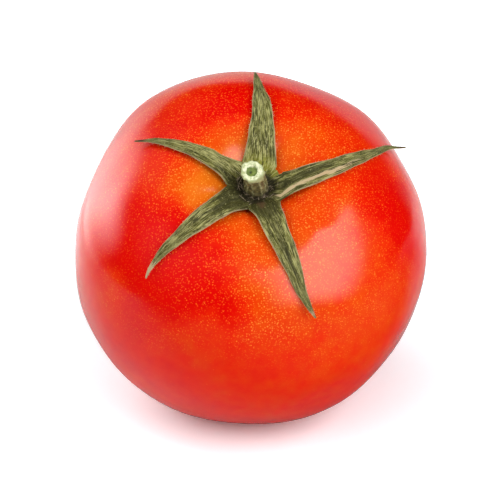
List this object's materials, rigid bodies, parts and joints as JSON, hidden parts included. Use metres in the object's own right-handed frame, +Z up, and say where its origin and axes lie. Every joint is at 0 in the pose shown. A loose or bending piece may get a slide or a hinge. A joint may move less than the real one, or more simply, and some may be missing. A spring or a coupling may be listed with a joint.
{
  "type": "tomato",
  "caption": "Ripe round red tomato with a dried star-shaped green calyx and short cut stem, leaning at rest on a small flat spot.",
  "frame": {"origin": "middle of the flat spot that the fruit rests on, on the resting surface", "axes": "+Z up, -Y to the front, where the stem end leans, +X to the right seen from the front"},
  "size_m": [0.0694, 0.0695, 0.0671],
  "materials": {
    "tomato_skin": "gloss",
    "calyx_disc": "matte",
    "stem": "matte",
    "sepal": "matte"
  },
  "bodies": {
    "root": {"fruit": "tomato_skin", "calyx_disc": "calyx_disc", "stem": "stem", "sepal_back": "sepal", "sepal_left": "sepal", "sepal_front_left": "sepal", "sepal_front_right": "sepal", "sepal_right": "sepal"}
  },
  "joints": []
}
